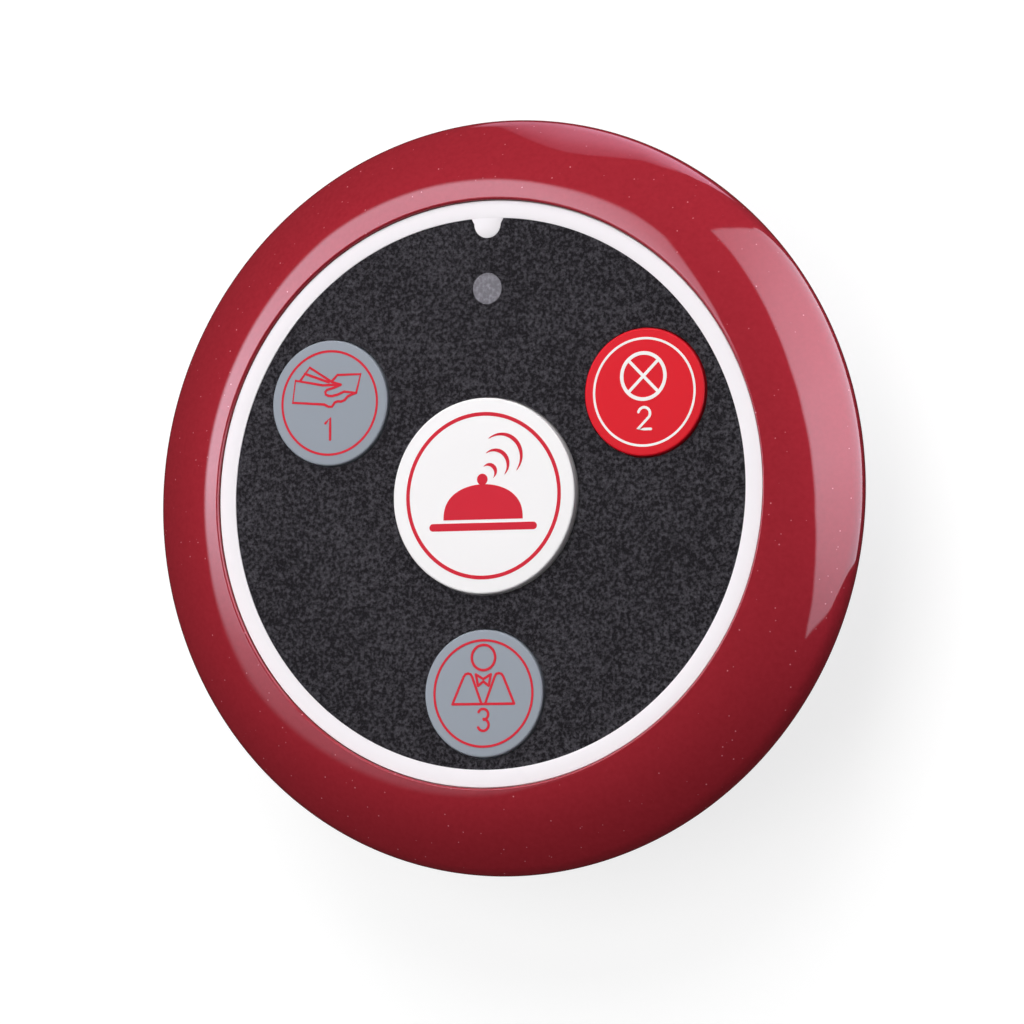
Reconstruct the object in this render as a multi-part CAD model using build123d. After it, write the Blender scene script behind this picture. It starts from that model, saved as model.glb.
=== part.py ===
from build123d import *
from math import cos, hypot, radians, sin, sqrt
import os

# Waiter call button: a round table-top transmitter with one large and three small keys.
# Millimetres. Origin on the table at the middle of the case, +Z up, +Y towards the indicator.

# Case outline
body_r = 40.0  # widest radius of the case
edge_r = 2.5  # round of the outer edge, seen in section
crown_r = 16.9  # section radius of the rim's domed top face
crown_drop = 5.8  # from the rim's lip down to the widest line
skirt_h = 2.6  # from the widest line down to the parting line
bowl_r = 30.0  # section radius of the underside
base_r = 29.0  # radius of the flat bottom
base_break = 1.0  # bevel between the bottom and the bowl
lip_break = 0.3  # bevel of the lip's inner edge
rim_wall = 1.8
base_wall = 1.6

# Panel, ring and the notch tab that keys the film
panel_margin = 1.43  # panel beyond the outermost key
ring_w = 1.62
ring_gap = 0.1  # between the white ring and the rim's lip
ring_break = 0.2  # bevel of the ring's outer edge
ring_rise = 0.1  # ring face above the film
lip_rise = 0.42  # lip above the ring face
tab_mouth = 3.4
tab_depth = 1.85
tab_tip_r = 1.2
film_t = 0.3
film_gap = 0.05
plate_t = 1.3  # top plate that carries the film
seat_drop = 1.1  # clamping flange's face below the film's seat
flange_w = 2.28  # clamping flange beyond the ring
flange_h = 1.2
seat_gap = 0.15

# Keys
layout_shift = -0.33  # the key group's middle along Y
orbit_r = 20.67  # small keys from the middle key
window_orbit_r = 21.87  # indicator window from the middle key
call_r = 10.29
small_r = 6.67
call_rise = 0.8  # top face above the film
small_rise = 0.45
key_gap = 0.15
key_break = 0.15  # bevel of the top edge
key_lap = 1.0  # flange beyond the key
key_flange_t = 1.0
key_top_t = 1.2
key_wall = 1.2
key_travel = 0.4
post_r = 1.6
key_rib_t = 0.7
key_rib_h = 0.6
guide_r = 0.6  # pins under the plate that stop a key from turning
guide_bite = 0.3  # pin axis inside the flange's edge
guide_gap = 0.12
guide_spare = 0.2  # pin beyond the flange of a pressed key

# Tact switches
switch_w = 5.2
switch_corner = 0.6
switch_base_h = 1.5
switch_floor = 0.3
switch_well_r = 1.9
switch_cover_t = 0.2
stem_r = 1.2
stem_proud = 0.9  # stem above the cover
stem_foot_r = 1.6
stem_foot_t = 0.4
stem_gap = 0.08
post_reach = 0.2  # key post below the flange
dome_t = 0.1
dome_cap_r = 1.0
dome_edge_gap = 0.15
lead_w = 0.7
lead_t = 0.15
lead_reach = 0.9
lead_pitch = 3.4

# Indicator
window_r = 1.63
window_gap = 0.02
led_r = 1.5
led_break = 0.5
led_flange_r = 1.75
led_flange_h = 1.0
led_headroom = 0.15
led_hole_gap = 0.1
collar_wall = 0.9
collar_h = 1.5
led_lead_w = 0.45
led_lead_pitch = 2.0
led_lead_hole_r = 0.45
led_lead_tail = 0.2

# Circuit board
board_margin = 7.33  # board beyond the small keys' orbit
board_t = 1.0
board_gap = 0.3  # board above the battery bay
board_screw_orbit_r = 17.0
board_screw_angles = (210, 330)  # the third stands beside the indicator
board_screw_gap = 0.59  # between that screw's boss and the indicator
board_boss_r = 2.2
board_screw_r = 0.9
board_screw_l = 4.0
board_head_r = 1.8
board_head_h = 1.1
board_hole_gap = 0.2
chip_l, chip_w, chip_h = 4.9, 3.9, 1.5
chip_spot, chip_turn = (-6.6, 6.4), 45
saw_w, saw_h = 3.8, 1.4
saw_spot, saw_turn = (7.2, 6.4), -45
transistor_l, transistor_w, transistor_h = 2.9, 1.4, 1.0
transistor_orbit_r = 21.5
transistor_angles = (-8, 8, 188)
passive_l, passive_w, passive_h = 2.0, 1.25, 0.6
passive_orbit_r = 13.5
passive_angles = (0, 14, 55, 68, 112, 166, 180, 245, 258, 282, 295)
track_w = 1.2
track_t = 0.1
track_inset = 0.6
track_from, track_to = -22, 48  # degrees

# Case screws
screw_angles = (60, 120, 210, 330)
screw_orbit_r = 25.0
pillar_r = 3.2
boss_r = 3.0
boss_h = 5.0  # boss above the pillar
screw_r = 1.3
screw_l = 7.5
screw_head_r = 2.3
screw_head_h = 1.6
screw_head_gap = 0.3
screw_hole_gap = 0.2
thread_gap = 0.03
pillar_web = 3.0  # pillar above the screw's head
recess_w = 0.6  # slot of the screws' cross
recess_d = 0.8
notch_gap = 0.6  # board clear of the pillars

# Base, battery bay and door
foot_r = 4.0
foot_t = 1.2
foot_proud = 0.6
foot_gap = 0.1
foot_orbit_r = 23.5
foot_angles = (35, 145, 235, 305)
tongue_t = 0.9
tongue_h = 1.6
tongue_gap = 0.1
battery_l = 28.5
battery_r = 5.15
battery_break = 0.4
nub_r = 2.2
nub_h = 0.7
battery_play = 0.2
bay_side_gap = 0.3
bay_wall = 1.0
bay_roof = 0.8
contact_t = 0.4
spring_t = 0.25
spring_w = 5.0
spring_seat = 0.05
contact_w = 7.0
contact_foot = 2.5
contact_clear = 1.6  # contact's lower end above the floor
contact_gap = 0.1
door_play = 0.2
door_slack = 1.3  # opening longer than the battery
door_lap = 1.6  # floor left at each end of the bay
tab_w = 3.0
tab_t = 0.8
tab_pitch = 6.0
tab_reach = 1.3
tab_root = 1.2
latch_w = 6.0
latch_l = 8.0
latch_slit = 0.8
latch_nib = 0.1
latch_nib_w = 3.0
latch_nib_h = 0.4
grip_count = 3
grip_pitch = 1.2
grip_r = 0.35
grip_l = 4.4
grip_inset = 2.2
brace_t = 1.0
brace_h = 4.0
brace_offset = 9.0

# Heights, from the table up
floor_z = foot_proud
floor_top = floor_z + base_wall
battery_z = floor_top + battery_play + battery_r
bay_ceiling = battery_z + battery_r + battery_play
bay_top = bay_ceiling + bay_roof
board_z = bay_top + board_gap
board_top = board_z + board_t
switch_top = board_top + switch_base_h
cover_top = switch_top + switch_cover_t
stem_top = cover_top + stem_proud
key_z = stem_top + post_reach
plate_z = key_z + key_flange_t
film_z = plate_z + plate_t
film_top = film_z + film_t
ring_z = film_top + ring_rise
lip_z = ring_z + lip_rise
equator_z = lip_z - crown_drop
parting_z = equator_z - skirt_h
seat_z = film_z - seat_drop
pillar_top = plate_z - boss_h
pillar_seat = pillar_top - pillar_web

# Radii and lengths that follow
panel_r = orbit_r + small_r - layout_shift + panel_margin
ring_r = panel_r + ring_w
lip_r = ring_r + ring_gap
flange_r = ring_r + flange_w
board_r = orbit_r + board_margin
bay_w = 2 * (battery_r + bay_side_gap)
opening_l = battery_l + door_slack
bay_l = opening_l + 2 * door_lap
door_l = opening_l - 2 * door_play
door_w = bay_w - 2 * door_play
battery_end = bay_l / 2 - contact_t
far = 2 * body_r


on_seat = (Align.CENTER, Align.CENTER, Align.MIN)


def polar(radius, angle, middle=0.0):
    return (radius * cos(radians(angle)), middle + radius * sin(radians(angle)))


def disc(spot, radius, z_low, z_high):
    return Pos(spot[0], spot[1], z_low) * Cylinder(radius, z_high - z_low, align=on_seat)


def block(x_low, x_high, y_low, y_high, z_low, z_high):
    size = Box(x_high - x_low, y_high - y_low, z_high - z_low, align=(Align.MIN, Align.MIN, Align.MIN))
    return Pos(x_low, y_low, z_low) * size


def slab(z_low, z_high):
    return disc((0, 0), far, z_low, z_high)


# Case section: crown, edge and bowl arcs are tangent, and every depth keeps their centres
edge_c = (body_r - edge_r, equator_z)


def arc_centre(point, radius):
    # Centre, nearer the axis, of the arc through the point that is tangent to the edge round.
    dx, dz = edge_c[0] - point[0], edge_c[1] - point[1]
    span = hypot(dx, dz)
    along = (radius**2 - (radius - edge_r) ** 2 + span**2) / (2 * span)
    aside = sqrt(radius**2 - along**2)
    side = 1 if point[1] < edge_c[1] else -1
    ux, uz = dx / span, dz / span
    return (point[0] + along * ux - side * aside * uz, point[1] + along * uz + side * aside * ux)


crown_c = arc_centre((lip_r, lip_z), crown_r)
bowl_c = arc_centre((base_r, floor_z), bowl_r)


def edge_point(centre, depth):
    # Where the edge round at this depth meets the arc about the given centre.
    dx, dz = edge_c[0] - centre[0], edge_c[1] - centre[1]
    reach = (edge_r - depth) / hypot(dx, dz)
    return (edge_c[0] + dx * reach, edge_c[1] + dz * reach)


def bowl_radius(depth, z):
    return bowl_c[0] + sqrt((bowl_r - depth) ** 2 - (z - bowl_c[1]) ** 2)


def section_arc(first, last, centre, radius):
    # Arc in the XZ plane, through the point of its circle midway between the ends.
    dx = (first[0] + last[0]) / 2 - centre[0]
    dz = (first[1] + last[1]) / 2 - centre[1]
    stretch = radius / hypot(dx, dz)
    top = (centre[0] + dx * stretch, 0, centre[1] + dz * stretch)
    return ThreePointArc((first[0], 0, first[1]), top, (last[0], 0, last[1]))


def hull_corners(depth):
    # Ends of the skin's arcs, moved inwards by the depth: crown, upper join, lower join, bottom.
    bottom_z = floor_z + depth
    return [
        (crown_c[0], crown_c[1] + crown_r - depth),
        edge_point(crown_c, depth),
        edge_point(bowl_c, depth),
        (bowl_radius(depth, bottom_z), bottom_z),
    ]


def revolved(skin):
    # Solid of revolution under a section's skin, which runs from the crown to the bottom.
    first, last = skin[0] @ 0, skin[-1] @ 1
    skin.append(Polyline(last, (0, 0, last.Z), (0, 0, first.Z), first))
    return revolve(make_face([edge for line in skin for edge in line.edges()]), Axis.Z)


def outer_solid():
    crown, upper, lower, bottom = hull_corners(0)
    return revolved([
        section_arc(crown, upper, crown_c, crown_r),
        section_arc(upper, lower, edge_c, edge_r),
        section_arc(lower, bottom, bowl_c, bowl_r),
    ])


def core(depth):
    # The mouldings' inner faces are cones through the corners at this depth.
    return revolved([Polyline([(x, 0, z) for x, z in hull_corners(depth)])])


def core_radius(depth, z):
    # Radius of the core's lower cone at a height.
    top, bottom = hull_corners(depth)[2:]
    return bottom[0] + (top[0] - bottom[0]) * (z - bottom[1]) / (top[1] - bottom[1])


case_solid = outer_solid()

# Key layout
middle = (0.0, layout_shift)
keys = {
    "call": (middle, call_r, call_rise, 90),
    "pay": (polar(orbit_r, 150, layout_shift), small_r, small_rise, 150 + 90),
    "cancel": (polar(orbit_r, 30, layout_shift), small_r, small_rise, 30 + 90),
    "order": (polar(orbit_r, 270, layout_shift), small_r, small_rise, 270 + 90),
}
window_spot = polar(window_orbit_r, 90, layout_shift)
window_screw_y = window_spot[1] - led_flange_r - board_screw_gap - board_boss_r
board_screw_spots = [(0.0, window_screw_y)] + [polar(board_screw_orbit_r, angle) for angle in board_screw_angles]
screw_spots = [polar(screw_orbit_r, angle) for angle in screw_angles]
foot_spots = [polar(foot_orbit_r, angle) for angle in foot_angles]


def guide_spots(spot, radius, angle):
    reach = radius + key_lap - guide_bite
    dx, dy = polar(reach, angle)
    return [(spot[0] + dx, spot[1] + dy), (spot[0] - dx, spot[1] - dy)]


# Rim
def make_rim():
    rim = case_solid - core(rim_wall)
    # The clamping flange of the top case sits in this pocket, under the lip.
    rim -= disc((0, 0), flange_r + seat_gap, 0, seat_z)
    rim -= slab(0, parting_z)
    lip_stock = case_solid & (disc((0, 0), flange_r + seat_gap, seat_z, far))
    rim += lip_stock
    rim -= disc((0, 0), lip_r, 0, far)
    return rim - Pos(0, 0, lip_z - lip_break) * Cone(lip_r, lip_r + lip_break, lip_break, align=on_seat)


# Top case
def notch_tab(clearance, z_low, z_high):
    # Tapered tab with a round tip, from the ring towards the middle.
    half = tab_mouth / 2 + clearance
    mouth = Line((-half, panel_r), (half, panel_r))
    tip = Pos(0, panel_r - tab_depth + tab_tip_r) * Circle(tab_tip_r + clearance)
    face = make_hull(mouth.edges() + tip.edges())
    face += Pos(0, panel_r) * Rectangle(2 * half, ring_w, align=(Align.CENTER, Align.MIN))
    return extrude(Pos(0, 0, z_low) * face, z_high - z_low)


def make_top_case():
    plate = disc((0, 0), ring_r, plate_z, ring_z)
    plate = chamfer(plate.edges().sort_by(Axis.Z)[-1], ring_break)
    recess = disc((0, 0), panel_r, film_z, far)
    recess -= notch_tab(0, film_z, far)
    plate -= recess
    plate += disc((0, 0), flange_r, seat_z - flange_h, seat_z) - disc((0, 0), panel_r + seat_gap, 0, plate_z)
    for spot, radius, rise, angle in keys.values():
        plate -= disc(spot, radius + key_gap, plate_z, far)
    for spot in screw_spots:
        plate += disc(spot, boss_r, pillar_top, film_z)
    for spot in board_screw_spots:
        plate += disc(spot, board_boss_r, board_top, film_z)
    for spot, radius, rise, angle in keys.values():
        for pin in guide_spots(spot, radius, angle):
            plate += disc(pin, guide_r, key_z - key_travel - guide_spare, plate_z)
    bore_r = led_r + led_hole_gap
    plate += disc(window_spot, bore_r + collar_wall, plate_z - collar_h, plate_z)
    plate -= disc(window_spot, bore_r, plate_z - collar_h, far)
    for spot in screw_spots:
        plate -= disc(spot, screw_r + thread_gap, pillar_top, pillar_seat + screw_l + thread_gap)
    for spot in board_screw_spots:
        plate -= disc(spot, board_screw_r + thread_gap, board_top, board_z + board_screw_l + thread_gap)
    return plate


# Film and window
def make_overlay():
    film = disc((0, 0), panel_r - film_gap, film_z, film_top)
    film -= notch_tab(film_gap, film_z, film_top)
    for spot, radius, rise, angle in keys.values():
        film -= disc(spot, radius + key_gap, film_z, film_top)
    return film - disc(window_spot, window_r + window_gap, film_z, film_top)


# Keys
def make_key(spot, radius, rise, angle):
    top = film_top + rise
    key = disc(spot, radius, key_z, top)
    key = chamfer(key.edges().sort_by(Axis.Z)[-1], key_break)
    key += disc(spot, radius + key_lap, key_z, plate_z)
    ceiling = top - key_top_t
    pocket = disc(spot, radius - key_wall, key_z, ceiling)
    pocket -= disc(spot, post_r, key_z, ceiling)
    for turn in (0, 90):
        rib = Box(2 * radius, key_rib_t, key_rib_h, align=(Align.CENTER, Align.CENTER, Align.MAX))
        pocket -= Pos(spot[0], spot[1], ceiling) * Rot(0, 0, angle + turn) * rib
    key -= pocket
    key += disc(spot, post_r, stem_top, key_z)
    for pin in guide_spots(spot, radius, angle):
        key -= disc(pin, guide_r + guide_gap, key_z, plate_z)
    return key


# Switches
def switch_base(spot):
    x, y = spot
    half = switch_w / 2
    base = block(x - half, x + half, y - half, y + half, board_top, switch_top)
    base = chamfer(base.edges().filter_by(Axis.Z), switch_corner)
    return base - disc(spot, switch_well_r, board_top + switch_floor, switch_top)


def switch_cover(spot):
    x, y = spot
    half = switch_w / 2
    cover = block(x - half, x + half, y - half, y + half, switch_top, cover_top)
    cover = chamfer(cover.edges().filter_by(Axis.Z), switch_corner)
    return cover - disc(spot, stem_r + stem_gap, switch_top, cover_top)


def switch_leads(spot):
    leads = []
    for side in (-1, 1):
        for row in (-1, 1):
            lead = Pos(lead_reach / 2) * Box(lead_reach, lead_w, lead_t, align=on_seat)
            lead += Pos(lead_t / 2) * Box(lead_t, lead_w, switch_base_h / 2, align=on_seat)
            place = Pos(spot[0] + side * switch_w / 2, spot[1] + row * lead_pitch / 2, board_top)
            leads.append(place * Rot(0, 0, 90 - side * 90) * lead)
    return leads


def stem(spot):
    foot = disc(spot, stem_foot_r, switch_top - stem_foot_t, switch_top)
    return foot + disc(spot, stem_r, switch_top, stem_top)


def snap_dome(spot):
    low = board_top + switch_floor
    height = switch_top - stem_foot_t - low
    edge = switch_well_r - dome_edge_gap
    shell = Cone(edge, dome_cap_r, height, align=on_seat)
    shell -= Cone(edge - dome_t, dome_cap_r, height - dome_t, align=on_seat)
    return Pos(spot[0], spot[1], low) * shell


# Indicator
def make_led():
    led = disc(window_spot, led_r, board_top, film_z - led_headroom)
    led = chamfer(led.edges().sort_by(Axis.Z)[-1], led_break)
    return led + disc(window_spot, led_flange_r, board_top, board_top + led_flange_h)


def led_lead_spots():
    x, y = window_spot
    return [(x - led_lead_pitch / 2, y), (x + led_lead_pitch / 2, y)]


def make_led_leads():
    half = led_lead_w / 2
    low = board_z - led_lead_tail
    return [block(x - half, x + half, y - half, y + half, low, board_top) for x, y in led_lead_spots()]


# Circuit board
def make_board():
    board = disc((0, 0), board_r, board_z, board_top)
    for spot in screw_spots:
        board -= disc(spot, pillar_r + notch_gap, board_z, board_top)
    for spot in board_screw_spots:
        board -= disc(spot, board_screw_r + board_hole_gap, board_z, board_top)
    for spot in led_lead_spots():
        board -= disc(spot, led_lead_hole_r, board_z, board_top)
    return board


def on_board(spot, length, width, height, angle=0):
    return Pos(spot[0], spot[1], board_top) * Rot(0, 0, angle) * Box(length, width, height, align=on_seat)


def make_antenna():
    # Loop track: the ends are cut square by radii.
    outer = board_r - track_inset
    inner = outer - track_w
    arc = CenterArc((0, 0), outer, track_from, track_to - track_from)
    arc += Line(arc @ 1, polar(inner, track_to))
    arc += CenterArc((0, 0), inner, track_from, track_to - track_from)
    arc += Line(polar(inner, track_from), polar(outer, track_from))
    return extrude(Pos(0, 0, board_top) * make_face(arc.edges()), track_t)


# Screws
def screw(spot, head_low, head_h, head_r, shank_r, shank_l):
    bolt = disc(spot, head_r, head_low, head_low + head_h)
    bolt += disc(spot, shank_r, head_low + head_h, head_low + head_h + shank_l)
    for turn in (0, 90):
        slot = Box(head_r, recess_w, recess_d, align=on_seat)
        bolt -= Pos(spot[0], spot[1], head_low) * Rot(0, 0, turn) * slot
    return bolt


# Base
def make_base():
    base = (case_solid - core(base_wall)) & slab(floor_z, parting_z)
    bevel_r = bowl_radius(0, floor_z + base_break)
    bevel = Pos(0, 0, floor_z) * Cone(base_r - base_break, bevel_r, base_break, align=on_seat)
    base -= disc((0, 0), far, floor_z, floor_z + base_break) - bevel
    # The tongue stands inside the rim's wall, on a band that thickens the base's own wall.
    tongue_r = core_radius(rim_wall, parting_z) - tongue_gap
    tongue = disc((0, 0), tongue_r, parting_z - tongue_h, parting_z + tongue_h)
    tongue += case_solid & slab(parting_z - tongue_h, parting_z)
    base += tongue - disc((0, 0), tongue_r - tongue_t, 0, far)

    half_l, half_w = bay_l / 2, bay_w / 2
    outer_l, outer_w = half_l + bay_wall, half_w + bay_wall
    inner = block(-outer_l, outer_l, -outer_w, outer_w, floor_z, bay_top)
    for spot in screw_spots:
        inner += disc(spot, pillar_r, floor_z, pillar_top)
    for side in (-1, 1):
        x = side * brace_offset
        inner += block(x - brace_t / 2, x + brace_t / 2, -body_r, body_r, floor_z, floor_top + brace_h)
    base += inner & core(base_wall / 2)
    base -= block(-half_l, half_l, -half_w, half_w, floor_top, bay_ceiling)
    base -= block(-opening_l / 2, opening_l / 2, -half_w, half_w, floor_z, floor_top)
    slot_w = contact_w / 2 + contact_gap
    slot_l = contact_t + contact_gap
    base -= block(-half_l, slot_l - half_l, -slot_w, slot_w, bay_ceiling, bay_top)
    base -= block(half_l - slot_l, half_l, -slot_w, slot_w, bay_ceiling, bay_top)
    for spot in screw_spots:
        base -= disc(spot, screw_head_r + screw_head_gap, floor_z, pillar_seat)
        base -= disc(spot, screw_r + screw_hole_gap, pillar_seat, pillar_top)
    for spot in foot_spots:
        base -= disc(spot, foot_r + foot_gap, floor_z, foot_t)
    return base


# Battery door
def make_door():
    half_l, half_w = door_l / 2, door_w / 2
    door = block(-half_l, half_l, -half_w, half_w, floor_z, floor_top)
    for side in (-1, 1):
        tab = side * tab_pitch / 2
        hook = -half_l - door_play - tab_reach
        door += block(hook, tab_root - half_l, tab - tab_w / 2, tab + tab_w / 2, floor_top, floor_top + tab_t)
        slit = side * latch_w / 2
        slit_low, slit_high = sorted((slit, slit + side * latch_slit))
        door -= block(half_l - latch_l, half_l, slit_low, slit_high, floor_z, floor_top)
    nib_z = (floor_z + floor_top - latch_nib_h) / 2
    door += block(half_l, half_l + latch_nib, -latch_nib_w / 2, latch_nib_w / 2, nib_z, nib_z + latch_nib_h)
    for index in range(grip_count):
        x = half_l - grip_inset - index * grip_pitch
        door -= Pos(x, 0, floor_z) * Rot(90, 0, 0) * Cylinder(grip_r, grip_l)
    return door


# Battery and its contacts
def make_battery():
    can_l = battery_l - nub_h
    can = Cylinder(battery_r, can_l, align=(Align.CENTER, Align.CENTER, Align.MAX))
    can = chamfer(can.edges().filter_by(GeomType.CIRCLE), battery_break)
    can += Cylinder(nub_r, nub_h, align=(Align.CENTER, Align.CENTER, Align.MIN))
    return Pos(battery_end - nub_h, 0, battery_z) * Rot(0, 90, 0) * can


def make_contact(side):
    half_l, half_w = bay_l / 2, contact_w / 2
    wall, face, foot = side * half_l, side * (half_l - contact_t), side * (half_l - contact_foot)
    leg = block(min(wall, face), max(wall, face), -half_w, half_w, floor_top + contact_clear, board_z)
    return leg + block(min(wall, foot), max(wall, foot), -half_w, half_w, bay_top, board_z)


def make_spring():
    # Bowed leaf from the leg's face to the battery's flat end.
    face = -battery_end
    nose = battery_end - battery_l - spring_seat
    half = battery_z - floor_top - contact_clear
    bow = nose - face
    bow_r = (half**2 + bow**2) / (2 * bow)
    leaf = Cylinder(bow_r, spring_w) - Cylinder(bow_r - spring_t, spring_w)
    leaf = Pos(nose - bow_r, 0, battery_z) * Rot(90, 0, 0) * leaf
    return leaf & block(face, nose, -spring_w / 2, spring_w / 2, battery_z - bow_r, battery_z + bow_r)


# The pieces, by node
spots = [place[0] for place in keys.values()]
case_screw = (pillar_seat - screw_head_h, screw_head_h, screw_head_r, screw_r, screw_l)
board_screw = (board_z - board_head_h, board_head_h, board_head_r, board_screw_r, board_screw_l)
transistor_size = (transistor_l, transistor_w, transistor_h)
passive_size = (passive_l, passive_w, passive_h)
groups = {
    "switch_bases": [switch_base(spot) for spot in spots],
    "switch_covers": [switch_cover(spot) for spot in spots],
    "switch_terminals": [lead for spot in spots for lead in switch_leads(spot)],
    "led_leads": make_led_leads(),
    "transistors": [on_board(polar(transistor_orbit_r, a), *transistor_size, a) for a in transistor_angles],
    "chip_passives": [on_board(polar(passive_orbit_r, a), *passive_size, a) for a in passive_angles],
    "foot_pads": [disc(spot, foot_r, 0, foot_t) for spot in foot_spots],
    "case_screws": [screw(spot, *case_screw) for spot in screw_spots],
    "board_screws": [screw(spot, *board_screw) for spot in board_screw_spots],
}
parts = {
    "base_shell": make_base(),
    "rim_shell": make_rim(),
    "top_case": make_top_case(),
    "overlay_panel": make_overlay(),
    "led_window": disc(window_spot, window_r, film_z, film_top),
    "circuit_board": make_board(),
    "status_led": make_led(),
    "battery": make_battery(),
    "positive_contact": make_contact(1),
    "negative_contact": make_contact(-1) + make_spring(),
    "antenna_track": make_antenna(),
    "encoder_chip": on_board(chip_spot, chip_l, chip_w, chip_h, chip_turn),
    "saw_resonator": on_board(saw_spot, saw_w, saw_w, saw_h, saw_turn),
    "battery_door": make_door(),
}
for name, solids in groups.items():
    parts[name] = Compound(solids)
for name, place in keys.items():
    parts[name + "_button"] = make_key(*place)
    parts[name + "_plunger"] = stem(place[0])
    parts[name + "_dome"] = snap_dome(place[0])

os.makedirs("parts", exist_ok=True)
for name, shape in parts.items():
    export_step(shape, f"parts/{name}.step")
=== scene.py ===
# Waiter call button: lacquered rim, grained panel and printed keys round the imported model.
# Everything is in metres, in the model's own frame: table at z = 0, indicator towards +Y.
from math import cos, hypot, pi, radians, sin, sqrt

import bmesh
import bpy
import numpy as np
from mathutils import Matrix, Vector


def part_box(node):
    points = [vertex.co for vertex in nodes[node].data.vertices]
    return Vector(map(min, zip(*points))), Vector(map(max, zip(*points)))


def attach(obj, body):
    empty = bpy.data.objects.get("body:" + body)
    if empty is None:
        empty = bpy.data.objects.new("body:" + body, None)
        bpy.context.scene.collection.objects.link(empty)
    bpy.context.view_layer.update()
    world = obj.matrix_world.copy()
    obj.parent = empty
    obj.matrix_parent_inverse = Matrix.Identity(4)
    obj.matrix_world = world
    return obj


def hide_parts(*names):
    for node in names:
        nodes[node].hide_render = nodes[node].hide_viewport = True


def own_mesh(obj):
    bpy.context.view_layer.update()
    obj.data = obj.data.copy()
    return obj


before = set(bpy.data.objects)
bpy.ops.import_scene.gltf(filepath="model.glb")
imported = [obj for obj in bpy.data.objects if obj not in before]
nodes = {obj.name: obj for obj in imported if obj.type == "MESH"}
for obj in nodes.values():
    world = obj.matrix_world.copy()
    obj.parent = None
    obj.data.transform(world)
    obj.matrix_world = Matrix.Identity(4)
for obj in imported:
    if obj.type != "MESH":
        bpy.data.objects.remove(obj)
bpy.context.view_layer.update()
mm = 0.001
sharpAngle = 32  # degrees; an edge that bends further stays sharp
print("stage: model loaded,", len(nodes), "nodes")


# Small helpers for colours, nodes and materials

def fromHex(code):
    # An sRGB hex colour as linear red, green, blue and full alpha.
    srgb = np.array([int(code[i:i + 2], 16) for i in (1, 3, 5)]) / 255
    linear = np.where(srgb <= 0.04045, srgb / 12.92, ((srgb + 0.055) / 1.055) ** 2.4)
    return (*linear.tolist(), 1.0)


def setInputs(tree, node, inputs):
    # Each input is linked to a socket or given a value; a hex code becomes its colour.
    for key, value in inputs.items():
        if isinstance(value, bpy.types.NodeSocket):
            tree.links.new(value, node.inputs[key])
        else:
            node.inputs[key].default_value = fromHex(value) if isinstance(value, str) else value


def addNode(tree, kind, settings={}, inputs={}):
    # One node with its own settings and its inputs.
    node = tree.nodes.new("ShaderNode" + kind)
    for key, value in settings.items():
        setattr(node, key, value)
    setInputs(tree, node, inputs)
    return node


def addNoise(tree, sizeMm, detail, roughness=0.5):
    # Noise with blobs of about the given size, fixed to the piece.
    place = addNode(tree, "TexCoord").outputs["Object"]
    inputs = {"Vector": place, "Scale": 1 / (sizeMm * mm), "Detail": detail, "Roughness": roughness}
    return addNode(tree, "TexNoise", {}, inputs).outputs["Fac"]


def addRange(tree, value, start, end, low=0.0, high=1.0):
    # Goes from low to high as the value goes from start to end, and stays level beyond them.
    inputs = {"Value": value, "From Min": start, "From Max": end, "To Min": low, "To Max": high}
    return addNode(tree, "MapRange", {}, inputs).outputs[0]


def addMix(tree, share, first, second, kind="RGBA"):
    # Goes from the first to the second with the share: colours, or numbers where the kind is FLOAT.
    inputFirst, inputSecond, result = {"RGBA": (6, 7, 2), "FLOAT": (2, 3, 0)}[kind]
    inputs = {0: share, inputFirst: first, inputSecond: second}
    return addNode(tree, "Mix", {"data_type": kind}, inputs).outputs[result]


def addMath(tree, operation, first, second):
    return addNode(tree, "Math", {"operation": operation}, {0: first, 1: second}).outputs[0]


def addBump(tree, height, strength, depthMm):
    inputs = {"Height": height, "Strength": strength, "Distance": depthMm * mm}
    return addNode(tree, "Bump", {}, inputs).outputs[0]


def newMaterial(name, surface):
    # A material with one Principled shader; surface gives the values of its sockets.
    material = bpy.data.materials.new(name)
    material.use_nodes = True
    tree = material.node_tree
    shader = tree.nodes["Principled BSDF"]
    setInputs(tree, shader, surface)
    material.diffuse_color = shader.inputs["Base Color"].default_value
    return material, tree, shader


# Small helpers for shapes and objects

def onCircle(centre, radius, angle):
    # Points of a circle at the angles.
    return np.stack([centre[0] + radius * np.cos(angle), centre[1] + radius * np.sin(angle)], axis=-1)


def middleOf(low, high):
    # Middle of a box, seen from above.
    return ((low.x + high.x) / 2, (low.y + high.y) / 2)


def softened(corners, steps):
    # A closed outline of (x, y, radius): a corner with a radius becomes the arc tangent to both sides.
    outline = []
    for k, (x, y, radius) in enumerate(corners):
        here = np.array([x, y])
        if radius == 0:
            outline.append(here[None])
            continue
        before = np.array(corners[k - 1][:2]) - here
        after = np.array(corners[(k + 1) % len(corners)][:2]) - here
        before, after = before / np.linalg.norm(before), after / np.linalg.norm(after)
        half = np.arccos(np.clip(before @ after, -1, 1)) / 2
        middle = here + (before + after) / np.linalg.norm(before + after) * radius / sin(half)
        first = here + before * radius / np.tan(half) - middle
        last = here + after * radius / np.tan(half) - middle
        t = np.linspace(0, 1, steps + 1)[:, None]
        sweep = pi - 2 * half
        arc = (np.sin((1 - t) * sweep) * first + np.sin(t * sweep) * last) / sin(sweep)
        outline.append(middle + arc)
    return np.vstack(outline)


def lineStack(lines, heights):
    # Flat lines of (x, y), each at its own height, as the rows of one surface.
    return np.stack([np.column_stack([line, np.full(len(line), z)]) for line, z in zip(lines, heights)])


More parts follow.
